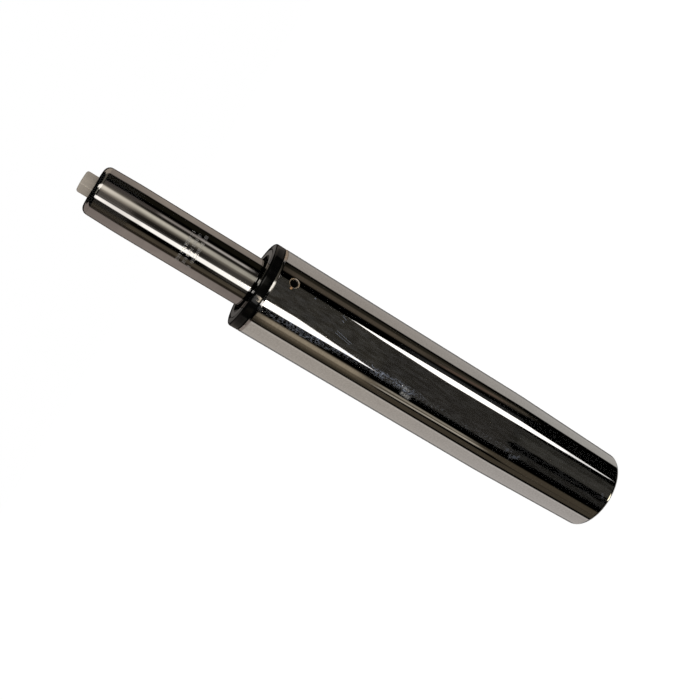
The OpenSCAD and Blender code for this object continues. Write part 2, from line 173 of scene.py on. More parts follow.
lathe, given = shaping_tree("turned shape", Segments="Int", Edge_angle="Float", Finish="Material")
size = given.outputs
rows = add(lathe, "GeometryNodeAttributeDomainSize", {"Geometry": size["Shape"]}).outputs["Point Count"]
columns = calc(lathe, "ADD", size["Segments"], 1)
sheet = add(lathe, "GeometryNodeMeshGrid", {"Vertices X": columns, "Vertices Y": rows}).outputs["Mesh"]
number = add(lathe, "GeometryNodeInputIndex", {}).outputs[0]
row = calc(lathe, "FLOORED_MODULO", number, rows)
spot = add(lathe, "GeometryNodeInputPosition", {}).outputs[0]
drawn = {"Geometry": size["Shape"], "Value": spot, "Index": row}
drawn = add(lathe, "GeometryNodeSampleIndex", drawn, data_type="FLOAT_VECTOR").outputs[0]
column_number = calc(lathe, "FLOOR", calc(lathe, "DIVIDE", number, rows))
turns = calc(lathe, "DIVIDE", column_number, size["Segments"])
angle = calc(lathe, "MULTIPLY", turns, 2 * math.pi)
spun = {"Vector": drawn, "Axis": (0, 0, 1), "Angle": angle}
spun = add(lathe, "ShaderNodeVectorRotate", spun, rotation_type="AXIS_ANGLE").outputs[0]
sheet = add(lathe, "GeometryNodeSetPosition", {"Geometry": sheet, "Position": spun}).outputs[0]
closed = {"Geometry": sheet, "Distance": same_point}
closed = add(lathe, "GeometryNodeMergeByDistance", closed).outputs[0]
closed = smooth_shape(lathe, closed, size["Edge_angle"])
finish_shape(lathe, closed, (size["Finish"], True))


def turned_piece(name, outline, finish, segments):
    """Turns a closed outline of (radius, height) into a round piece."""
    points = [(point.x, 0, point.y) for point in outline + outline[:1]]
    mesh = bpy.data.meshes.new(name)
    mesh.from_pydata(points, [], [])
    piece = new_object(name, mesh)
    shape_piece(piece, lathe, Segments=segments, Edge_angle=crease_angle, Finish=finish)
    return piece


def start_finish(name, colour, metallic, roughness):
    """Starts a material and gives it with its tree, its shader and its place on the piece."""
    material = bpy.data.materials.new(name)
    material.use_nodes = True
    tree = material.node_tree
    shader = tree.nodes["Principled BSDF"]
    shader.inputs["Base Color"].default_value = (*colour, 1)
    shader.inputs["Metallic"].default_value = metallic
    shader.inputs["Roughness"].default_value = roughness
    place = add(tree, "ShaderNodeTexCoord", {}).outputs["Object"]
    return material, tree, shader, place


def noise(tree, place, scale, detail=2.0, stretch=(1, 1, 1)):
    """Noise of so many bumps to the metre, stretched along the axes."""
    if stretch != (1, 1, 1):
        place = add(tree, "ShaderNodeMapping", {"Vector": place, "Scale": stretch}).outputs[0]
    return add(tree, "ShaderNodeTexNoise", {"Vector": place, "Scale": scale, "Detail": detail}).outputs["Fac"]


def step_up(tree, value, low, high, start=0.0, end=1.0):
    """A value that runs smoothly from start to end as another goes from low to high.
    A smooth step stays between its ends, so the node's clamp is off: it would add a node for each step,
    and the surround, which has hundreds, would render black."""
    limits = {"Value": value, "From Min": low, "From Max": high, "To Min": start, "To Max": end}
    return add(tree, "ShaderNodeMapRange", limits, interpolation_type="SMOOTHSTEP", clamp=False).outputs[0]


def tint(tree, amount, colour, other):
    """Mixes two colours, each given as numbers or as a socket."""
    inputs = {0: amount}
    for socket, value in ((6, colour), (7, other)):
        inputs[socket] = value if isinstance(value, bpy.types.NodeSocket) else (*value, 1)
    return add(tree, "ShaderNodeMix", inputs, data_type="RGBA").outputs[2]


def vary(tree, shader, pattern, colour, other, smooth, rough):
    """Lets a pattern run a finish from one colour to another, and from smooth to rough."""
    tree.links.new(tint(tree, pattern, colour, other), shader.inputs["Base Color"])
    tree.links.new(step_up(tree, pattern, 0.3, 0.7, smooth, rough), shader.inputs["Roughness"])


def emboss(tree, shader, height, depth):
    """Puts a height on a shader as bumps of a depth in metres."""
    bump = add(tree, "ShaderNodeBump", {"Height": height, "Strength": 1.0, "Distance": depth})
    tree.links.new(bump.outputs[0], shader.inputs["Normal"])


def unrolled(tree, place, radius):
    """The place on a round wall as distance round it, from the front towards +X, and height."""
    axes = add(tree, "ShaderNodeSeparateXYZ", {0: place}).outputs
    turn = calc(tree, "ARCTAN2", axes["X"], calc(tree, "MULTIPLY", axes["Y"], -1))
    round_it = calc(tree, "MULTIPLY", turn, radius)
    wall = add(tree, "ShaderNodeCombineXYZ", {"X": round_it, "Y": axes["Z"]}).outputs[0]
    return wall, round_it, axes["Z"]


def turned_to(tree, place, turn):
    """The place on a piece as it is when a side of the piece is turned to +X."""
    back = {"Vector": place, "Angle": -turn}
    return add(tree, "ShaderNodeVectorRotate", back, rotation_type="Z_AXIS").outputs[0]


def near(tree, value, middle, far, close):
    """1 where a value is close to a middle, and smoothly down to 0 where it is far from it."""
    away = calc(tree, "ABSOLUTE", calc(tree, "SUBTRACT", value, middle))
    return step_up(tree, away, far, close)


def vector_calc(tree, operation, *values, gives="Vector"):
    """A calculation with vectors in a node tree, which gives a vector, or a number as "Value"."""
    return add(tree, "ShaderNodeVectorMath", dict(enumerate(values)), operation=operation).outputs[gives]


def stroke(tree, wall, start, end, width):
    """A fine straight mark on a wall, from one place to another, that fades at its sides."""
    along = (Vector(end) - Vector(start)).to_3d()
    from_start = vector_calc(tree, "SUBTRACT", wall, Vector(start).to_3d())
    share = vector_calc(tree, "DOT_PRODUCT", from_start, along / along.length_squared, gives="Value")
    share = add(tree, "ShaderNodeClamp", {"Value": share}).outputs[0]
    foot = add(tree, "ShaderNodeVectorMath", {0: along, "Scale": share}, operation="SCALE").outputs[0]
    away = vector_calc(tree, "DISTANCE", from_start, foot, gives="Value")
    return step_up(tree, away, width, 0.0)


def strokes(tree, wall, marks):
    """Fine straight marks on a wall, each with its start, its end and its width in millimetres."""
    drawn = None
    for start, end, width in marks:
        mark = stroke(tree, wall, [x * MM for x in start], [x * MM for x in end], width * MM)
        drawn = calc(tree, "MAXIMUM", drawn, mark) if drawn else mark
    return drawn


chrome = (0.66, 0.65, 0.63)
bare_copper = (0.62, 0.40, 0.23)
column_chrome, tree, shader, place = start_finish("column chrome", chrome, 1.0, 0.04)
wall, round_it, height = unrolled(tree, place, column_r)
# Dust: fine specks in clumps, on a trail along the front, thick above half height and thin near the rim.
fine = step_up(tree, noise(tree, wall, 950, 3, (1, 0.7, 1)), 0.38, 0.72)
clumps = step_up(tree, noise(tree, wall, 260, 3, (1, 0.6, 1)), 0.32, 0.62, 0.40, 1.0)
trail_at = step_up(tree, height, 160 * MM, 212 * MM, -5.7 * MM, -8.5 * MM)
trail = near(tree, round_it, trail_at, 3.0 * MM, 0.8 * MM)
thick = step_up(tree, height, 126 * MM, 140 * MM)
thick = calc(tree, "MULTIPLY", thick, step_up(tree, height, 166 * MM, 158 * MM))
thin = step_up(tree, height, 160 * MM, 205 * MM, 0.08, 0.35)
thin = calc(tree, "MULTIPLY", thin, step_up(tree, height, 228 * MM, 208 * MM, 0.22, 1.0))
thick = calc(tree, "MULTIPLY_ADD", thick, 0.34, thin)
thick = calc(tree, "MULTIPLY", thick, step_up(tree, height, 60 * MM, 80 * MM))
trail = calc(tree, "MULTIPLY", trail, thick)
patch = near(tree, round_it, 16.5 * MM, 5 * MM, 2 * MM)
patch = calc(tree, "MULTIPLY", patch, step_up(tree, height, 105 * MM, 70 * MM))
trail = calc(tree, "MULTIPLY_ADD", patch, 0.02, trail)
dust = calc(tree, "MULTIPLY", calc(tree, "MULTIPLY", fine, clumps), trail)
# A thin film of it on the front, in grains, and streaks of it all round.
front = near(tree, round_it, 1.0 * MM, 11 * MM, 6 * MM)
front = calc(tree, "MULTIPLY", front, step_up(tree, height, 60 * MM, 210 * MM, 0.024, 0.042))
grain = step_up(tree, noise(tree, wall, 700, 3, (1, 0.15, 1)), 0.32, 0.74)
dust = calc(tree, "MAXIMUM", dust, calc(tree, "MULTIPLY", grain, front))
streaks = step_up(tree, noise(tree, wall, 1000, 3, (1, 0.05, 1)), 0.50, 0.72)
streaks = calc(tree, "MULTIPLY", calc(tree, "MULTIPLY", streaks, fine), 0.018)
dust = calc(tree, "MAXIMUM", dust, streaks)
# Scratches in the upper part, pale scuffs at the taper and the foot, and two smudges above half height.
scratches = strokes(tree, wall, (
    ((1.9, 188.6), (0.0, 178.6), 0.22),
    ((0.6, 189.2), (-1.0, 179.3), 0.18),
    ((10.5, 189.7), (9.1, 187.1), 0.25),
    ((7.9, 188.7), (7.4, 187.7), 0.35),
    ((10.6, 207.0), (10.5, 206.7), 0.55),
    ((-4.9, 161.5), (-3.9, 163.0), 0.35),
))
dust = calc(tree, "MAXIMUM", dust, calc(tree, "MULTIPLY", scratches, 0.30))
scuffs = strokes(tree, wall, (
    ((-7.9, 68.0), (-6.2, 63.5), 2.0),
    ((-5.8, 72.5), (-5.0, 69.5), 1.8),
    ((0.9, 6.8), (-0.5, 5.6), 1.3),
))
scuffed = step_up(tree, noise(tree, wall, 900, 3, (1, 0.5, 1)), 0.35, 0.65, 0.02, 0.15)
dust = calc(tree, "MAXIMUM", dust, calc(tree, "MULTIPLY", scuffs, scuffed))
smudge = strokes(tree, wall, (
    ((-8.6, 140.5), (-9.0, 136.0), 1.9),
    ((-5.2, 142.5), (-5.9, 138.5), 1.5),
))
smudge = calc(tree, "MULTIPLY", smudge, step_up(tree, noise(tree, wall, 700, 3), 0.32, 0.62, 0.05, 0.42))
smears = step_up(tree, noise(tree, wall, 300, 4, (1, 0.4, 1)), 0.30, 0.70)
dull = calc(tree, "MULTIPLY", smears, calc(tree, "MULTIPLY_ADD", front, 14.0, 0.12))
# The rim, copper-toned on one side: partly rubbed through to the copper, partly a painted reflection
# of the brown light that its rounded edge mirrors, with a darker brown band painted just under it.
facing = step_up(tree, round_it, 19 * MM, 24 * MM)
facing = calc(tree, "MULTIPLY", facing, step_up(tree, round_it, 70 * MM, 55 * MM))
rim_copper_and_reflection = step_up(tree, height, column_h - 1.45 * MM, column_h - 1.15 * MM)
rim_copper_and_reflection = calc(tree, "MULTIPLY", rim_copper_and_reflection, facing)
rim_copper_and_reflection = calc(tree, "MULTIPLY", rim_copper_and_reflection, step_up(tree, noise(tree, wall, 700, 2), 0.20, 0.45))
rim_dark_band = near(tree, height, column_h - 1.6 * MM, 0.35 * MM, 0.1 * MM)
rim_dark_band = calc(tree, "MULTIPLY", rim_dark_band, facing)
rubbed = noise(tree, wall, 900, 3)
plate = tint(tree, step_up(tree, rubbed, 0.30, 0.70), (0.60, 0.59, 0.57), (0.71, 0.70, 0.68))
plate = tint(tree, dull, plate, (0.40, 0.39, 0.38))
plate = tint(tree, calc(tree, "MULTIPLY", rim_dark_band, 0.6), plate, (0.26, 0.17, 0.09))
plate = tint(tree, rim_copper_and_reflection, plate, (0.40, 0.30, 0.21))
plate = tint(tree, step_up(tree, dust, 0.0, 0.15), plate, (0.51, 0.56, 0.67))
plate = tint(tree, smudge, plate, (0.62, 0.60, 0.54))
tree.links.new(plate, shader.inputs["Base Color"])
dust = calc(tree, "MAXIMUM", dust, smudge)
solid = calc(tree, "MAXIMUM", dust, calc(tree, "MULTIPLY", rim_copper_and_reflection, 0.7))
tree.links.new(calc(tree, "SUBTRACT", 1.0, solid), shader.inputs["Metallic"])
rough = calc(tree, "MULTIPLY_ADD", rubbed, 0.03, 0.02)
rough = calc(tree, "MULTIPLY_ADD", dust, 0.12, rough)
rough = calc(tree, "MULTIPLY_ADD", rim_copper_and_reflection, 0.4, rough)
tree.links.new(rough, shader.inputs["Roughness"])
emboss(tree, shader, calc(tree, "SUBTRACT", noise(tree, wall, 160, 1), scratches), 0.0006 * MM)

# The bevels of the holes: copper where the plating is thin, in cream and tan tones that are also a painted
# reflection of the light the bevels mirror.
edge_copper_and_reflection, tree, shader, place = start_finish("copper and painted reflection on the hole edges", bare_copper, 0.3, 0.45)
from_hole = vector_calc(tree, "ADD", turned_to(tree, place, lock_turn), (0, 0, -lock_z))
from_hole = vector_calc(tree, "MULTIPLY", from_hole, (0, 1, 1))
from_hole = vector_calc(tree, "LENGTH", from_hole, gives="Value")
patches = step_up(tree, noise(tree, place, 800, 3), 0.30, 0.65)
ring = tint(tree, patches, (0.56, 0.49, 0.41), (0.40, 0.29, 0.18))
# Painted shade: the inner part of each bevel is near black, for the shade at the mouth of the hole.
hole_edge_shade = step_up(tree, from_hole, lock_hole_r + 0.3 * MM, lock_hole_r + 0.5 * MM)
tree.links.new(tint(tree, hole_edge_shade, (0.03, 0.022, 0.015), ring), shader.inputs["Base Color"])
tree.links.new(step_up(tree, patches, 0, 1, 0.35, 0.5), shader.inputs["Roughness"])
emboss(tree, shader, noise(tree, place, 2500, 2), 0.01 * MM)

# The bores: steel painted near black, a painted shade inside the holes.
shaded_bore_steel, tree, shader, place = start_finish("bore steel painted dark", (0.03, 0.03, 0.03), 1.0, 0.4)
vary(tree, shader, noise(tree, place, 1500, 3), (0.01, 0.01, 0.012), (0.05, 0.045, 0.04), 0.3, 0.5)

burr_copper, tree, shader, place = start_finish("burr of copper", (0.70, 0.45, 0.24), 0.3, 0.4)
tarnish = step_up(tree, noise(tree, place, 1400, 3), 0.35, 0.65)
tree.links.new(tint(tree, tarnish, (0.44, 0.27, 0.14), (0.30, 0.16, 0.07)), shader.inputs["Base Color"])
tree.links.new(step_up(tree, tarnish, 0, 1, 0.3, 0.5), shader.inputs["Roughness"])

column_outline = [
    (foot_lip_r, 0, foot_lip_round),
    (foot_r, 0, foot_round),
    (column_r, foot_taper_h, swage_round),
]
# Close rows of points hold the wall round the lock holes, so that its reflections stay straight there.
fine_rows = 25
fine_row_mm = 0.4
for i in range(fine_rows):
    column_outline.append((column_r, lock_z + (i - fine_rows // 2) * fine_row_mm * MM, 0))
column_outline += [
    (column_r, column_h - rim_bevel_h, 3 * MM),
    (column_r - rim_bevel_w, column_h, 0.25 * MM),
    (column_in_r, column_h, 0.3 * MM),
    (column_in_r, foot_taper_h, 0),
    (foot_in_r, foot_lip_h, 0),
    (foot_lip_r, foot_lip_h, foot_lip_round),
]
column = turned_piece("chromed_column", rounded_outline(column_outline), column_chrome, segments=320)

drill, given = shaping_tree(
    "lock holes", Hole_radius="Float", Bevel="Float", Wall_radius="Float", Height="Float", Turn="Float",
    Edge_angle="Float", Wall_finish="Material", Bevel_finish="Material", Bore_finish="Material",
)
size = given.outputs
cutter_sides = 48
past_both_walls = 2.2
reach = calc(drill, "MULTIPLY", size["Wall_radius"], past_both_walls)
bore = {"Vertices": cutter_sides, "Radius": size["Hole_radius"], "Depth": reach}
bore = add(drill, "GeometryNodeMeshCylinder", bore).outputs["Mesh"]
wide = calc(drill, "MULTIPLY_ADD", size["Bevel"], 2.0, size["Hole_radius"])
flare = {"Vertices": cutter_sides, "Radius Top": wide, "Radius Bottom": size["Hole_radius"]}
flare["Depth"] = calc(drill, "MULTIPLY", size["Bevel"], 2.0)
flare = add(drill, "GeometryNodeMeshCone", flare).outputs["Mesh"]
sunk = calc(drill, "SUBTRACT", size["Wall_radius"], size["Bevel"])
outward = add(drill, "ShaderNodeCombineXYZ", {"Z": sunk}).outputs[0]
flare = add(drill, "GeometryNodeTransform", {"Geometry": flare, "Translation": outward}).outputs[0]
far_flare = add(drill, "GeometryNodeTransform", {"Geometry": flare, "Rotation": (math.pi, 0, 0)}).outputs[0]
flares = add(drill, "GeometryNodeJoinGeometry", {0: flare})
drill.links.new(far_flare, flares.inputs[0])
cutters = []
for cutter, mark in ((bore, "bored"), (flares.outputs[0], "bevelled")):
    marked = {"Geometry": cutter, "Name": mark, "Value": True}
    marked = add(drill, "GeometryNodeStoreNamedAttribute", marked, data_type="BOOLEAN", domain="FACE")
    level = {"Geometry": marked.outputs[0], "Rotation": (0, math.pi / 2, 0)}
    level = add(drill, "GeometryNodeTransform", level).outputs[0]
    turned = {
        "Geometry": level,
        "Translation": add(drill, "ShaderNodeCombineXYZ", {"Z": size["Height"]}).outputs[0],
        "Rotation": add(drill, "ShaderNodeCombineXYZ", {"Z": size["Turn"]}).outputs[0],
    }
    cutters.append(add(drill, "GeometryNodeTransform", turned).outputs[0])
drilled = size["Shape"]
for cutter in cutters:
    both = {"Mesh 1": drilled, "Mesh 2": cutter}
    cut = add(drill, "GeometryNodeMeshBoolean", both, operation="DIFFERENCE", solver="EXACT")
    drilled = cut.outputs["Mesh"]
drilled = smooth_shape(drill, drilled, size["Edge_angle"])
cut_faces = {}
for mark in ("bevelled", "bored"):
    faces = add(drill, "GeometryNodeInputNamedAttribute", {"Name": mark}, data_type="BOOLEAN")
    cut_faces[mark] = faces.outputs[0]
finish_shape(
    drill, drilled,
    (size["Wall_finish"], True),
    (size["Bevel_finish"], cut_faces["bevelled"]),
    (size["Bore_finish"], cut_faces["bored"]),
)
shape_piece(
    column, drill, Hole_radius=lock_hole_r, Bevel=lock_bevel_w, Wall_radius=column_r,
    Height=lock_z, Turn=lock_turn, Edge_angle=crease_angle,
    Wall_finish=column_chrome, Bevel_finish=edge_copper_and_reflection, Bore_finish=shaded_bore_steel,
)
burr = bmesh.new()
burr.from_mesh(column.data)
burr_place = Matrix.Rotation(burr_turn, 4, "Z") @ Matrix.Translation((column_r, 0, burr_z))
burr_shape = burr_place @ Matrix.Diagonal((*burr_size, 1))
bump = bmesh.ops.create_uvsphere(burr, u_segments=20, v_segments=12, radius=1, matrix=burr_shape)
for vert in bump["verts"]:
    for face in vert.link_faces:
        face.smooth = True
        face.material_index = len(column.data.materials)
burr.to_mesh(column.data)
burr.free()
column.data.materials.append(burr_copper)
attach(column, "column")
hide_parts("outer_column")


# Base plate and the washers: pressings of mild steel with a clear zinc plating. The base plate lies on
# the rolled lip of the column, and its raised middle carries the thrust bearing.
def dress(finish, *nodes):
    """Gives solids that stay in view their finish."""
    for node in nodes:
        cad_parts[node].material_slots[0].material = finish


zinc_steel, tree, shader, place = start_finish("zinc plated steel", (0.50, 0.50, 0.50), 1.0, 0.35)
spangle = noise(tree, place, 700, 4)
vary(tree, shader, spangle, (0.40, 0.41, 0.42), (0.60, 0.60, 0.58), 0.28, 0.46)
emboss(tree, shader, noise(tree, place, 1800, 3), 0.01 * MM)
dress(zinc_steel, "base_plate", "clip_washer", "bumper_washer", "piston_washer", "piston_nut", "seal_washer")


# Races, rod, inner cylinder and valve pin: bearing and rod steel, ground round the axis and polished,
# so fine rings run round them. The rod stands on the upper race.
def from_axis(tree, place):
    """How far out from the axis a place is, and how high."""
    out = vector_calc(tree, "MULTIPLY", place, (1, 1, 0))
    out = vector_calc(tree, "LENGTH", out, gives="Value")
    up = add(tree, "ShaderNodeSeparateXYZ", {0: place}).outputs["Z"]
    return out, up


def lathe_rings(tree, place, rings_per_metre):
    """Fine rings round the axis, as a tool or a grinding wheel leaves them on sides and faces."""
    out, up = from_axis(tree, place)
    across = add(tree, "ShaderNodeCombineXYZ", {"X": out, "Y": up}).outputs[0]
    return noise(tree, across, rings_per_metre, 2)


ground_steel, tree, shader, place = start_finish("ground steel", (0.58, 0.58, 0.58), 1.0, 0.2)
rings = lathe_rings(tree, place, 5000)
vary(tree, shader, rings, (0.50, 0.50, 0.50), (0.66, 0.66, 0.65), 0.14, 0.26)
emboss(tree, shader, rings, 0.002 * MM)
dress(ground_steel, "lower_race", "upper_race", "piston_rod", "inner_cylinder", "valve_pin")

# Balls of the thrust bearing: eleven balls of bearing steel, hardened and lapped. The cage keeps them
# apart, and they roll between the races.
ball_count = 11
ball_r = 2 * MM
ball_pitch_r = 8.7 * MM
ball_z = 15.9 * MM
lapped_steel, tree, shader, place = start_finish("lapped steel", (0.60, 0.60, 0.60), 1.0, 0.1)
sheen = noise(tree, place, 1200, 3)
vary(tree, shader, sheen, (0.54, 0.54, 0.55), (0.66, 0.66, 0.66), 0.06, 0.16)
bearing, given = shaping_tree(
    "ring of balls", Balls="Int", Pitch_radius="Float", Ball_radius="Float", Height="Float",
    Finish="Material",
)
size = given.outputs
circle = {"Vertices": size["Balls"], "Radius": size["Pitch_radius"]}
circle = add(bearing, "GeometryNodeMeshCircle", circle).outputs["Mesh"]
ball = {"Segments": 32, "Rings": 16, "Radius": size["Ball_radius"]}
ball = add(bearing, "GeometryNodeMeshUVSphere", ball).outputs["Mesh"]
balls = add(bearing, "GeometryNodeInstanceOnPoints", {"Points": circle, "Instance": ball}).outputs[0]
raised = add(bearing, "ShaderNodeCombineXYZ", {"Z": size["Height"]}).outputs[0]
balls = add(bearing, "GeometryNodeTransform", {"Geometry": balls, "Translation": raised}).outputs[0]
balls = add(bearing, "GeometryNodeSetShadeSmooth", {"Geometry": balls, "Shade Smooth": True}).outputs[0]
finish_shape(bearing, balls, (size["Finish"], True))
balls = new_object("thrust_balls", bpy.data.meshes.new("thrust_balls"))
shape_piece(
    balls, bearing, Balls=ball_count, Pitch_radius=ball_pitch_r, Ball_radius=ball_r, Height=ball_z,
    Finish=lapped_steel,
)
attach(balls, "cage")
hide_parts("bearing_balls")

# Ball cage, rod guide, pin spacer and button guide: moulded in natural, uncoloured plastic, a little
# cloudy and satin.
natural_plastic, tree, shader, place = start_finish("natural plastic", (0.80, 0.79, 0.74), 0.0, 0.45)
cloudy = noise(tree, place, 350, 4)
vary(tree, shader, cloudy, (0.74, 0.72, 0.66), (0.84, 0.83, 0.79), 0.38, 0.52)
emboss(tree, shader, noise(tree, place, 2500, 2), 0.006 * MM)
dress(natural_plastic, "ball_cage", "rod_guide", "pin_seal_spacer", "button_guide")

# Retaining clip: stamped from spring steel and blackened in oil, it snaps into the groove of the rod
# under the washer.
spring_steel, tree, shader, place = start_finish("blackened spring steel", (0.20, 0.20, 0.21), 1.0, 0.35)
oiled = noise(tree, place, 900, 4)
vary(tree, shader, oiled, (0.12, 0.12, 0.13), (0.27, 0.26, 0.26), 0.26, 0.46)
emboss(tree, shader, noise(tree, place, 3000, 2), 0.008 * MM)
dress(spring_steel, "retaining_clip")

# Bumper and seals: moulded in black rubber, matt, with a bloom of wax on the surface. The bumper lies
# round the rod, and the seals close the gaps round the rod, the piston, the valve and its pin.
black_rubber, tree, shader, place = start_finish("black rubber", (0.03, 0.03, 0.03), 0.0, 0.7)
bloom = noise(tree, place, 450, 5)
vary(tree, shader, bloom, (0.018, 0.018, 0.018), (0.05, 0.05, 0.048), 0.6, 0.82)
emboss(tree, shader, noise(tree, place, 3500, 3), 0.02 * MM)
dress(
    black_rubber, "bumper", "piston_seal", "rod_seal", "valve_tube_seal", "valve_cylinder_seal", "pin_seals",
)


# Piston, cylinder seat and valve block: turned from bar, the first two in aluminium and the valve in
# brass, with the rings that the tool leaves.
def turned_metal(name, colour, rubbed):
    """A metal turned on the lathe, in its own colour and, where it is rubbed, in another."""
    material, tree, shader, place = start_finish(name, colour, 1.0, 0.3)
    rings = lathe_rings(tree, place, 3500)
    vary(tree, shader, rings, colour, rubbed, 0.22, 0.38)
    emboss(tree, shader, rings, 0.006 * MM)
    return material


dress(turned_metal("turned aluminium", (0.66, 0.66, 0.67), (0.78, 0.78, 0.79)), "piston", "cylinder_seat")
dress(turned_metal("turned brass", (0.70, 0.52, 0.25), (0.84, 0.67, 0.36)), "valve_body")

# Guide bush: one moulding in black plastic, with a glossy collar that stands on the column's top edge,
# and inside the column a sleeve, ribs and the pegs that snap into the lock holes. Its mesh is the solid's,
# with the collar's mouth widened, the groove on its top moved in and the ring outside that sloped.
collar_top = 235.7 * MM
collar_round = 1.5 * MM
mouth_r = 17.6 * MM
ring_in_r = 21.4 * MM
ring_out_r = 23.45 * MM
ring_slope = math.tan(math.radians(4))
solid_mouth_r = 17 * MM
solid_mouth_end = 17.1 * MM
solid_ring_r = 23.3 * MM
groove_shift = 1.85 * MM
black_plastic, tree, shader, place = start_finish("black plastic", (0.002, 0.002, 0.002), 0.0, 0.08)
rubbed = noise(tree, place, 240, 4)
tree.links.new(tint(tree, rubbed, (0.001, 0.001, 0.001), (0.003, 0.003, 0.0028)), shader.inputs["Base Color"])
tree.links.new(step_up(tree, rubbed, 0.3, 0.75, 0.04, 0.09), shader.inputs["Roughness"])
# The collar shines on its wall and most on its top, less on the ring there, and hardly in its mouth.
out, up = from_axis(tree, place)
on_top = step_up(tree, up, collar_top - 1.2 * MM, collar_top - 0.5 * MM)
dull = calc(tree, "MULTIPLY", step_up(tree, out, ring_in_r - 0.2 * MM, ring_in_r + 0.2 * MM), on_top)
shine = step_up(tree, up, column_h + 0.5 * MM, column_h + 1.2 * MM, 0.01, 0.30)
shine = calc(tree, "MULTIPLY_ADD", on_top, 0.05, shine)
shine = calc(tree, "MULTIPLY", shine, calc(tree, "MULTIPLY_ADD", dull, -0.6, 1.0))
shine = calc(tree, "MULTIPLY", shine, step_up(tree, out, mouth_r - 0.4 * MM, mouth_r, 0.2, 1.0))
# One plain level as well, for where a linked one is dropped.
shader.inputs["Specular IOR Level"].default_value = 0.18
tree.links.new(shine, shader.inputs["Specular IOR Level"])
emboss(tree, shader, noise(tree, place, 900, 2), 0.001 * MM)
bush = new_object("moulded_bush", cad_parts["guide_bush"].data.copy())
collar = bmesh.new()
collar.from_mesh(bush.data)
bmesh.ops.remove_doubles(collar, verts=collar.verts, dist=same_point)
for vert in collar.verts:
    out = vert.co.xy.length
    above = vert.co.z - (collar_top - collar_round)
    if above < 0 or out < solid_mouth_r:
        continue
    if out < solid_mouth_end:
        new_out = mouth_r
    elif out < solid_ring_r:
        new_out = out - groove_shift
    else:
        new_out = out
        vert.co.z -= (ring_out_r - ring_in_r) * ring_slope * above / collar_round
    vert.co.xy *= new_out / out
collar.to_mesh(bush.data)
collar.free()
bush.data.attributes.remove(bush.data.attributes["custom_normal"])
bush.data.shade_smooth()
bush.data.set_sharp_from_angle(angle=math.radians(25))
bush.data.materials.clear()
bush.data.materials.append(black_plastic)
flats = bush.modifiers.new("flats stay flat", "WEIGHTED_NORMAL")
flats.keep_sharp = True
settle(bush, flats)
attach(bush, "column")
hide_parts("guide_bush")

# Pressure tube: drawn steel, ground, polished and chromed. Its upper end is swaged to the taper that
# wedges into the seat, and both ends are rolled in over the pieces inside.
tube_r = 14 * MM
tube_in_r = 12.5 * MM
tube_foot = 83.8 * MM
tube_top = 328.7 * MM
tube_wall = 1.5 * MM
seat_taper_z = 308.7 * MM
seat_slope = math.tan(math.radians(1.44))
tube_top_r = tube_r - (tube_top - seat_taper_z) * seat_slope
tube_neck_r = tube_top_r + tube_wall * seat_slope - tube_wall
tube_top_lip_r = 6.46 * MM
tube_foot_lip_r = tube_r - 3.4 * MM
tube_round = 3.6 * MM
tube_lip_round = 0.4 * MM
seat_swage_round = 320 * MM
ticks_z = 268 * MM
ticks_mid = -0.5 * MM
ticks_half_w = 10 * MM
tick_rows = 3
tick_row_h = 3.5 * MM
tick_pitch = 0.75 * MM
tick_share_of_row = 0.55
ticks_left_out = 0.25
tube_chrome, tree, shader, place = start_finish("tube chrome", chrome, 1.0, 0.03)
wall, round_it, height = unrolled(tree, place, tube_r)
polish = noise(tree, wall, 900, 3, (0.05, 1, 1))
haze = step_up(tree, noise(tree, wall, 90, 4), 0.45, 0.75)
slid = step_up(tree, noise(tree, wall, 700, 2, (1, 0.02, 1)), 0.45, 0.80)
# Etched ticks: three rows of short upright strokes of chance widths, some of them left out.
row = calc(tree, "DIVIDE", calc(tree, "SUBTRACT", height, ticks_z), tick_row_h)
place_in_row = calc(tree, "DIVIDE", round_it, tick_pitch)
cell = {"X": calc(tree, "FLOOR", place_in_row), "Y": calc(tree, "FLOOR", row)}
cell = add(tree, "ShaderNodeCombineXYZ", cell).outputs[0]
chosen = add(tree, "ShaderNodeTexWhiteNoise", {"Vector": cell}, noise_dimensions="2D").outputs["Value"]
tick_w = calc(tree, "MULTIPLY_ADD", chosen, 0.6, 0.15)
tick = calc(tree, "LESS_THAN", calc(tree, "FRACT", place_in_row), tick_w)
tick = calc(tree, "MULTIPLY", tick, calc(tree, "GREATER_THAN", chosen, ticks_left_out))
in_row = calc(tree, "LESS_THAN", calc(tree, "FRACT", row), tick_share_of_row)
tick = calc(tree, "MULTIPLY", tick, in_row)
from_mid = calc(tree, "ABSOLUTE", calc(tree, "SUBTRACT", row, tick_rows / 2))
tick = calc(tree, "MULTIPLY", tick, calc(tree, "LESS_THAN", from_mid, tick_rows / 2))
from_mid = calc(tree, "ABSOLUTE", calc(tree, "SUBTRACT", round_it, ticks_mid))
etched = calc(tree, "MULTIPLY", tick, calc(tree, "LESS_THAN", from_mid, ticks_half_w))
mottle = step_up(tree, noise(tree, wall, 110, 4), 0.30, 0.70)
gripped = step_up(tree, height, seat_taper_z - 5 * MM, seat_taper_z + 1 * MM)
film = calc(tree, "MULTIPLY", gripped, calc(tree, "MULTIPLY_ADD", mottle, 0.006, 0.006))
film = calc(tree, "MULTIPLY_ADD", calc(tree, "MULTIPLY", polish, slid), 0.012, film)
film = calc(tree, "MAXIMUM", film, calc(tree, "MULTIPLY", etched, 0.12))
plate = tint(tree, polish, (0.60, 0.59, 0.57), (0.70, 0.69, 0.67))
plate = tint(tree, calc(tree, "MULTIPLY", mottle, 0.6), plate, (0.52, 0.51, 0.50))
plate = tint(tree, calc(tree, "MULTIPLY", gripped, 0.5), plate, (0.54, 0.52, 0.51))
tree.links.new(plate, shader.inputs["Base Color"])
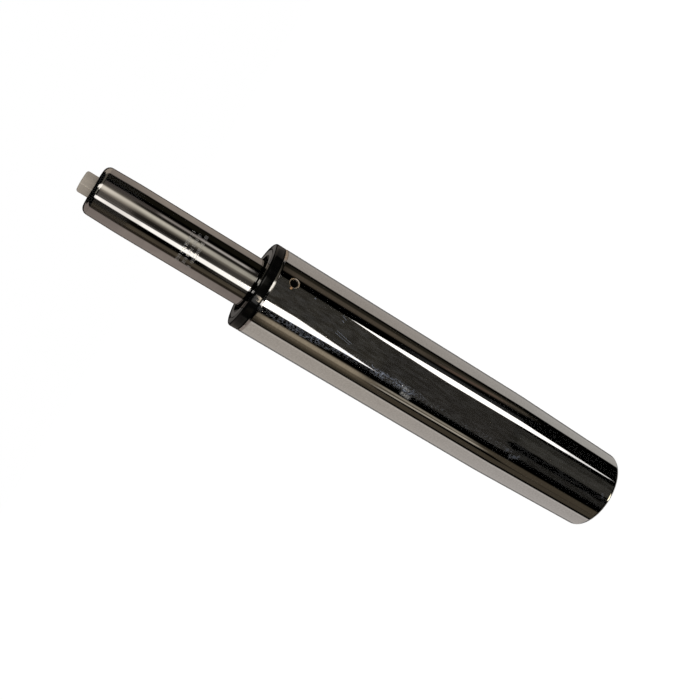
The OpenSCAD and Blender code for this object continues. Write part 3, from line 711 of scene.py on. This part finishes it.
tree.links.new(calc(tree, "SUBTRACT", 1.0, film), shader.inputs["Metallic"])
rough = calc(tree, "MULTIPLY_ADD", polish, 0.02, 0.02)
rough = calc(tree, "MULTIPLY_ADD", haze, 0.03, rough)
rough = calc(tree, "MULTIPLY_ADD", etched, 0.25, rough)
tree.links.new(rough, shader.inputs["Roughness"])
emboss(tree, shader, polish, 0.0003 * MM)
tube_outline = [
    (tube_foot_lip_r, tube_foot, tube_lip_round),
    (tube_r, tube_foot, tube_round),
    (tube_r, seat_taper_z, seat_swage_round),
    (tube_top_r, tube_top, tube_round),
    (tube_top_lip_r, tube_top, tube_lip_round),
    (tube_top_lip_r, tube_top - tube_wall, 0),
    (tube_neck_r, tube_top - tube_wall, 0),
    (tube_in_r, seat_taper_z, 0),
    (tube_in_r, tube_foot + tube_wall, 0),
    (tube_foot_lip_r, tube_foot + tube_wall, 0),
]
tube = turned_piece("chromed_tube", rounded_outline(tube_outline), tube_chrome, segments=256)
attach(tube, "tube")
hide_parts("pressure_tube")

# Release button: an ivory moulded cap, pressed on the valve pin. The two halves of the mould leave a
# fine line along it, and the gate a shallow round mark on its top.
button_r = 5.94 * MM
button_z = 324.2 * MM
button_top = 335.6 * MM
dome_h = 0.3 * MM
gate_r = 1.4 * MM
gate_floor_r = 1.2 * MM
gate_depth = 0.15 * MM
line_h = 0.06 * MM
line_w = 0.35 * MM
line_in_r = 4 * MM
line_turn = math.radians(-103)
pin_hole_r = 2.55 * MM
pin_hole_top = 331.6 * MM
ivory = (0.40, 0.35, 0.29)
ivory_plastic, tree, shader, place = start_finish("ivory plastic", ivory, 0.0, 0.42)
mottle = noise(tree, place, 220, 2)
up = add(tree, "ShaderNodeSeparateXYZ", {0: place}).outputs["Z"]
# Darker towards the top and over its rounded edge.
darker_top = step_up(tree, up, button_top - 1.4 * MM, button_top - 0.3 * MM)
seam_y = add(tree, "ShaderNodeSeparateXYZ", {0: turned_to(tree, place, line_turn)}).outputs["Y"]
# The mould line is also painted paler along its length: a painted highlight.
seam_highlight = near(tree, seam_y, 0.0, 0.45 * MM, 0.15 * MM)
cap = tint(tree, mottle, (0.385, 0.334, 0.276), (0.41, 0.361, 0.30))
cap = tint(tree, calc(tree, "MULTIPLY", darker_top, 0.5), cap, (0.28, 0.245, 0.20))
cap = tint(tree, calc(tree, "MULTIPLY", seam_highlight, 0.6), cap, (0.53, 0.47, 0.395))
tree.links.new(cap, shader.inputs["Base Color"])
tree.links.new(step_up(tree, mottle, 0.3, 0.7, 0.36, 0.5), shader.inputs["Roughness"])
emboss(tree, shader, noise(tree, place, 900, 1), 0.0004 * MM)
button_outline = [
    (0, button_top - gate_depth, 0),
    (0, pin_hole_top, 0),
    (pin_hole_r, pin_hole_top, 0),
    (pin_hole_r, button_z, 0),
    (button_r, button_z, 0.3 * MM),
    (button_r, button_top - dome_h, 1.3 * MM),
    (gate_r, button_top, 0.12 * MM),
    (gate_floor_r, button_top - gate_depth, 0.06 * MM),
]
button = turned_piece("push_button", rounded_outline(button_outline), ivory_plastic, segments=288)
for vert in button.data.vertices:
    flat = Vector((vert.co.x, vert.co.y))
    across = abs(flat.x * math.sin(line_turn) - flat.y * math.cos(line_turn))
    if flat.length > line_in_r and across < line_w and vert.co.z < button_top - dome_h:
        out = line_h * (1 + math.cos(math.pi * across / line_w)) / 2
        vert.co.xy += flat.normalized() * out
button.data.update()
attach(button, "button")
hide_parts("release_button")

# Studio: a pale floor that keeps the lift's faint shadow, soft lamps for the plain surfaces, and a
# surround of panels. Of these, reflections see the panels alone: floor and lamps are hidden from them.
floor_half = 6.0
floor_mesh = bpy.data.meshes.new("floor")
floor_corners = [(-floor_half, -floor_half, 0), (floor_half, -floor_half, 0)]
floor_corners += [(floor_half, floor_half, 0), (-floor_half, floor_half, 0)]
floor_mesh.from_pydata(floor_corners, [], [(0, 1, 2, 3)])
floor = new_object("floor", floor_mesh)
floor_paper = bpy.data.materials.new("white paper")
floor_paper.use_nodes = True
tree = floor_paper.node_tree
tree.nodes.clear()
rays = add(tree, "ShaderNodeLightPath", {}).outputs
seen = calc(tree, "MAXIMUM", rays["Is Glossy Ray"], rays["Is Transmission Ray"])
seen = calc(tree, "MAXIMUM", rays["Is Camera Ray"], seen)
pale = add(tree, "ShaderNodeBsdfDiffuse", {"Color": (0.80, 0.80, 0.80, 1)}).outputs[0]
matt = add(tree, "ShaderNodeBsdfDiffuse", {"Color": (0.16, 0.16, 0.16, 1)}).outputs[0]
white = add(tree, "ShaderNodeEmission", {"Color": (1, 1, 1, 1), "Strength": 0.93}).outputs[0]
white = add(tree, "ShaderNodeAddShader", {0: matt, 1: white}).outputs[0]
paper = add(tree, "ShaderNodeMixShader", {0: seen, 1: pale, 2: white}).outputs[0]
add(tree, "ShaderNodeOutputMaterial", {"Surface": paper})
floor_mesh.materials.append(floor_paper)
floor.visible_glossy = False

lamp_aim = Vector((0, 0, 0.17))
for name, watts, width, spot in (
    ("key lamp", 7.0, 0.7, (-0.9, -1.0, 1.2)),
    ("fill lamp", 4.0, 0.9, (1.1, -0.8, 0.9)),
):
    lamp = bpy.data.lights.new(name, "AREA")
    lamp.energy = watts
    lamp.size = width
    holder = new_object(name, lamp)
    holder.location = spot
    holder.rotation_euler = (lamp_aim - Vector(spot)).to_track_quat("-Z", "Y").to_euler()
    holder.visible_glossy = False

# Each panel of the surround: its light, its left edge and its right edge, each at the foot and at the
# top, its foot, its top, and how soft its sides and its ends are. All but the light are degrees as seen
# from the lift: azimuth from the camera's side, -Y, towards -X, and elevation. Lights add up where panels
# overlap. At rest, in the camera's view, the column mirrors what is lower than about -9 degrees, the tube
# what is higher than about -8.5, and the collar's wall the strip between.
soft_white = (2.2, 2.15, 2.08)
right_wall = (0.41, 0.373, 0.343)
left_wall = (0.476, 0.435, 0.397)
panels = [
    # Walls at both sides, for the column.
    (right_wall, (-149, -149), (-100.8, -100.4), -21, -9.0, 1.7, 0.1),
    (right_wall, (-149, -149), (-104.4, -100.8), -27.5, -21, 1.7, 0.1),
    (right_wall, (-149, -149), (-111.5, -104.4), -40, -27.5, 1.7, 0.1),
    ((0.05, 0.07, 0.08), (-149, -149), (-117, -101.5), -50, -22, 1.7, 8),
    (left_wall, (87.4, 85.1), (149, 149), -27.5, -9.0, 1.6, 0.1),
    (left_wall, (88.2, 87.4), (149, 149), -40, -27.5, 1.6, 0.1),
    ((0.02, 0.03, 0.05), (89, 87), (149, 149), -50, -22, 2, 8),
    ((0.10, 0.10, 0.095), (88.6, 86.2), (93, 90.2), -40, -9.0, 1.5, 0.1),
    ((0.24, 0.23, 0.22), (-166, -166), (-149, -149), -40, -9.0, 5, 0.1),
    ((0.24, 0.23, 0.22), (149, 149), (166, 166), -40, -9.0, 5, 0.1),
    # The same walls, for the tube.
    ((0.29, 0.25, 0.219), (-146, -146), (-101.2, -101.2), -8.3, 6.5, 3.9, 0.1),
    ((0.07, 0.06, 0.055), (-146, -146), (-101.2, -101.2), -5.5, 1, 3.9, 4),
    ((0.27, 0.229, 0.21), (86, 86), (146, 146), -8.3, 6.5, 4, 0.1),
    ((0.05, 0.045, 0.04), (86, 86), (146, 146), -5.5, 1, 4, 4),
    ((0.15, 0.13, 0.115), (-164, -164), (-146, -146), -8.3, 6.5, 5, 0.1),
    ((0.15, 0.13, 0.115), (146, 146), (164, 164), -8.3, 6.5, 5, 0.1),
    # The same walls, for the collar.
    ((0.18, 0.16, 0.14), (-166, -166), (-100.5, -100.5), -9.0, -8.3, 4.5, 0.1),
    ((0.18, 0.16, 0.14), (84.5, 84.5), (166, 166), -9.0, -8.3, 4.5, 0.1),
    # Low behind the lift, and above the walls there.
    ((0.30, 0.28, 0.26), (-200, -200), (-108, -108), -90, -46, 12, 8),
    ((0.30, 0.28, 0.26), (108, 108), (200, 200), -90, -46, 12, 8),
    ((0.29, 0.265, 0.245), (-200, -200), (-166, -166), 7, 17, 4, 1),
    ((0.20, 0.185, 0.172), (166, 166), (200, 200), 7, 17, 4, 1),
    # High at the sides and in front, for the rounded top of the tube and the button.
    ((0.42, 0.36, 0.30), (-150, -150), (-100, -100), 6.5, 38, 4, 2),
    ((0.26, 0.22, 0.20), (86, 86), (150, 150), 6.5, 46, 4, 4),
    ((0.11, 0.10, 0.08), (-100, -100), (-33, -33), 14, 34, 3, 4),
    ((0.25, 0.24, 0.20), (-15, -15), (18, 18), 26, 40, 3, 3),
    ((1.7, 1.62, 1.48), (-33, -33), (-15, -15), 6.5, 56, 4, 4),
    ((1.7, 1.62, 1.48), (-15, -15), (-7, -7), 14, 26, 4, 2),
    # The white strip on the lower column, and its fringe.
    (soft_white, (-54.1, -53.3), (-48.4, -52.7), -16.5, -14.4, 0.6, 0.1),
    (soft_white, (-57.3, -54.1), (-43.5, -48.4), -21, -16.5, 0.6, 0.1),
    (soft_white, (-58.7, -57.3), (-47.4, -43.5), -29, -21, 0.6, 0.1),
    ((0.028, 0.0285, 0.029), (-66, -66), (-57, -57), -27, -18.5, 4, 1.5),
    ((1.95, 1.91, 1.88), (-57.3, -58.3), (-50.6, -47.1), -31.5, -29, 0.6, 0.2),
    ((1.25, 1.23, 1.23), (-56.3, -57.3), (-54.6, -50.6), -34.3, -31.5, 0.6, 0.2),
    # The white strip on the upper column, on the collar's wall and on the tube.
    (soft_white, (27, 15), (27.6, 31.2), -17, -11.5, 0.6, 0.2),
    (soft_white, (15, 15.7), (31.2, 31.8), -11.5, -9.3, 0.6, 0.1),
    ((28.0, 24.0, 18.6), (17, 17), (30, 30), -9.5, -8.4, 0.8, 0.15),
    ((1.65, 1.61, 1.55), (16.5, 19.5), (37.3, 34.5), -8.65, -1, 2, 0.1),
    ((1.36, 1.31, 1.25), (19.5, 20.5), (34.5, 34.5), -1, 5.5, 2, 0.1),
    ((1.5, 1.46, 1.40), (22, 22), (34, 34), 5.5, 25, 2, 3),
    # The dim front of the column.
    ((0.039, 0.036, 0.030), (-52, -54), (27.5, 22), -17.2, -9.3, 1.5, 0.1),
    ((0.03, 0.0275, 0.024), (-52, -52), (32.8, 34.2), -25.8, -17.2, 1.5, 0.1),
    ((0.023, 0.0215, 0.0185), (-42, -42), (-0.7, 6.5), -28, -25.8, 1, 0.1),
    ((0.026, 0.024, 0.021), (16.5, 9), (30.5, 32.8), -28, -25.8, 1.2, 0.1),
    ((0.026, 0.0245, 0.021), (-42, -42), (-1, -1), -40, -28, 1.5, 0.1),
    ((0.018, 0.0175, 0.0155), (-26, -26), (-2, -2), -40, -28.8, 4, 1.2),
    ((0.018, 0.017, 0.015), (16.5, 16.5), (31, 31), -40, -28, 2, 0.1),
    # Brown bands on the left of the column, with the light lines of the lower one.
    ((0.21, 0.181, 0.138), (51.5, 52.5), (63.5, 63.5), -17, -9.3, 2.5, 1.2),
    ((0.14, 0.113, 0.08), (51.5, 52.5), (72.5, 72.5), -17, -9.3, 4.5, 1.2),
    ((0.33, 0.295, 0.24), (50.5, 50.5), (55.2, 55.2), -24.1, -17.6, 1.5, 0.8),
    ((0.10, 0.085, 0.065), (55, 55), (60, 60), -25, -17, 1.5, 0.8),
    ((0.45, 0.41, 0.35), (57, 60.2), (61.2, 63.8), -24.6, -17.6, 1, 0.8),
    ((0.052, 0.043, 0.030), (73, 73), (80.5, 80.5), -17, -9.3, 3, 1.2),
    ((0.063, 0.0515, 0.037), (67.5, 67.5), (80.5, 80.5), -40, -17, 1.5, 1.2),
    ((0.07, 0.057, 0.04), (50, 50), (66.5, 60), -30, -24.5, 2.5, 1),
    ((0.07, 0.057, 0.04), (50, 50), (67.5, 66.5), -40, -30, 2.5, 1),
    # Brown bands on the right of the column.
    ((0.088, 0.071, 0.053), (-84.5, -84), (-73, -70.8), -19.5, -9.3, 3, 1.2),
    ((0.042, 0.035, 0.027), (-91, -87), (-82, -72), -27.8, -19.5, 3, 1.2),
    ((0.022, 0.019, 0.0135), (-94, -94), (-84, -84), -27.5, -9.3, 3, 2),
    ((0.068, 0.042, 0.032), (-87, -80), (-81, -72.5), -24.6, -20.3, 1.8, 0.7),
    # The front of the tube, and the brown bands at its sides.
    ((0.44, 0.415, 0.36), (-31, -31), (-14, -14), -8.65, 6, 5, 0.1),
    ((0.31, 0.29, 0.25), (-31.5, -31.5), (-19.5, -19.5), -4, 6, 4.5, 4),
    ((0.13, 0.115, 0.095), (-41, -41), (-8, -8), 0.6, 6.5, 6, 2.2),
    ((0.085, 0.075, 0.065), (-14, -14), (16, 16), 0.6, 6.5, 5, 2.2),
    ((0.025, 0.022, 0.019), (36, 36), (54, 54), 0.6, 6.5, 4, 2.2),
    ((0.15, 0.133, 0.11), (-16, -16), (-6, -6), -8.65, 6, 6, 0.1),
    ((0.09, 0.085, 0.08), (12.5, 12.5), (19, 19), -8.65, 5.5, 2.5, 0.1),
    ((0.26, 0.24, 0.225), (-54, -54), (-45.5, -45.5), -7.7, -1.6, 3, 0.3),
    ((0.19, 0.185, 0.18), (-54, -54), (-45, -45), -7.7, -4.5, 3, 0.3),
    ((0.075, 0.064, 0.058), (-57, -57), (-43, -43), -7.7, 6.5, 3, 0.3),
    ((0.02, 0.0175, 0.015), (-46, -46), (14, 14), -8.65, 6, 4, 0.1),
    ((0.05, 0.045, 0.04), (-8, -8), (14, 14), -8.65, -5.5, 4, 1.5),
    ((0.05, 0.045, 0.04), (38, 38), (49, 49), -8.65, -5.8, 4, 1),
    ((0.085, 0.07, 0.051), (55, 55), (71, 71), -8.65, 0, 4.5, 1),
    ((0.045, 0.037, 0.027), (55, 55), (71, 71), 0, 6, 4.5, 1),
    ((0.027, 0.021, 0.015), (68, 68), (84, 84), -8.65, 6, 3, 0.1),
    ((0.0085, 0.0075, 0.005), (-93, -93), (-70, -70), -8.65, 6, 4, 0.1),
    # Low in front, for the rounded foot.
    ((2.6, 2.4, 1.8), (-21, -21), (5, 5), -84, -44, 2, 2),
]
world = bpy.data.worlds.new("studio")
bpy.context.scene.world = world
world.use_nodes = True
tree = world.node_tree
tree.nodes.clear()
way = add(tree, "ShaderNodeTexCoord", {}).outputs["Generated"]
way = add(tree, "ShaderNodeSeparateXYZ", {0: way}).outputs
across = calc(tree, "MULTIPLY", way["X"], -1)
towards = calc(tree, "MULTIPLY", way["Y"], -1)
azimuth = calc(tree, "DEGREES", calc(tree, "ARCTAN2", across, towards))
elevation = calc(tree, "DEGREES", calc(tree, "ARCSINE", way["Z"]))


def edge(at_foot, at_top, foot, top):
    """The azimuth of a panel's side at the elevation looked at."""
    if at_foot == at_top:
        return at_foot
    rise = (at_top - at_foot) / (top - foot)
    return calc(tree, "MULTIPLY_ADD", elevation, rise, at_foot - foot * rise)


mirrored = None
for light, left, right, foot, top, side_soft, end_soft in panels:
    from_left = calc(tree, "SUBTRACT", azimuth, edge(*left, foot, top))
    from_right = calc(tree, "SUBTRACT", edge(*right, foot, top), azimuth)
    shown = step_up(tree, from_left, -side_soft, side_soft)
    shown = calc(tree, "MULTIPLY", shown, step_up(tree, from_right, -side_soft, side_soft))
    shown = calc(tree, "MULTIPLY", shown, step_up(tree, elevation, foot - end_soft, foot + end_soft))
    shown = calc(tree, "MULTIPLY", shown, step_up(tree, elevation, top + end_soft, top - end_soft))
    panel = add(tree, "ShaderNodeVectorMath", {0: light, "Scale": shown}, operation="SCALE").outputs[0]
    mirrored = vector_calc(tree, "ADD", mirrored, panel) if mirrored else panel
rays = add(tree, "ShaderNodeLightPath", {}).outputs
polished = calc(tree, "MAXIMUM", rays["Is Glossy Ray"], rays["Is Transmission Ray"])
plain = add(tree, "ShaderNodeBackground", {"Color": (0.55, 0.55, 0.55, 1)}).outputs[0]
surround = add(tree, "ShaderNodeBackground", {"Color": mirrored}).outputs[0]
white = add(tree, "ShaderNodeBackground", {"Color": (1, 1, 1, 1)}).outputs[0]
seen = add(tree, "ShaderNodeMixShader", {0: polished, 1: plain, 2: surround}).outputs[0]
seen = add(tree, "ShaderNodeMixShader", {0: rays["Is Camera Ray"], 1: seen, 2: white}).outputs[0]
add(tree, "ShaderNodeOutputWorld", {"Surface": seen})
world.cycles.sampling_method = "NONE"

# Camera: a little above the collar, tilted down and rolled, so that the lift lies across the picture.
# Its place and its turn follow from the lift's outline there.
eye = (-0.00319, -0.51137, 0.30930)
look_down = math.radians(15.16)
roll = math.radians(-58.87)
camera = bpy.data.cameras.new("camera")
camera.lens = 50
camera.sensor_width = 36
camera.clip_start = 0.01
viewer = new_object("camera", camera)
aim = Matrix.Rotation(math.pi / 2 - look_down, 4, "X") @ Matrix.Rotation(roll, 4, "Z")
viewer.matrix_world = Matrix.Translation(eye) @ aim
bpy.context.scene.camera = viewer
bpy.context.scene.view_settings.view_transform = "Standard"
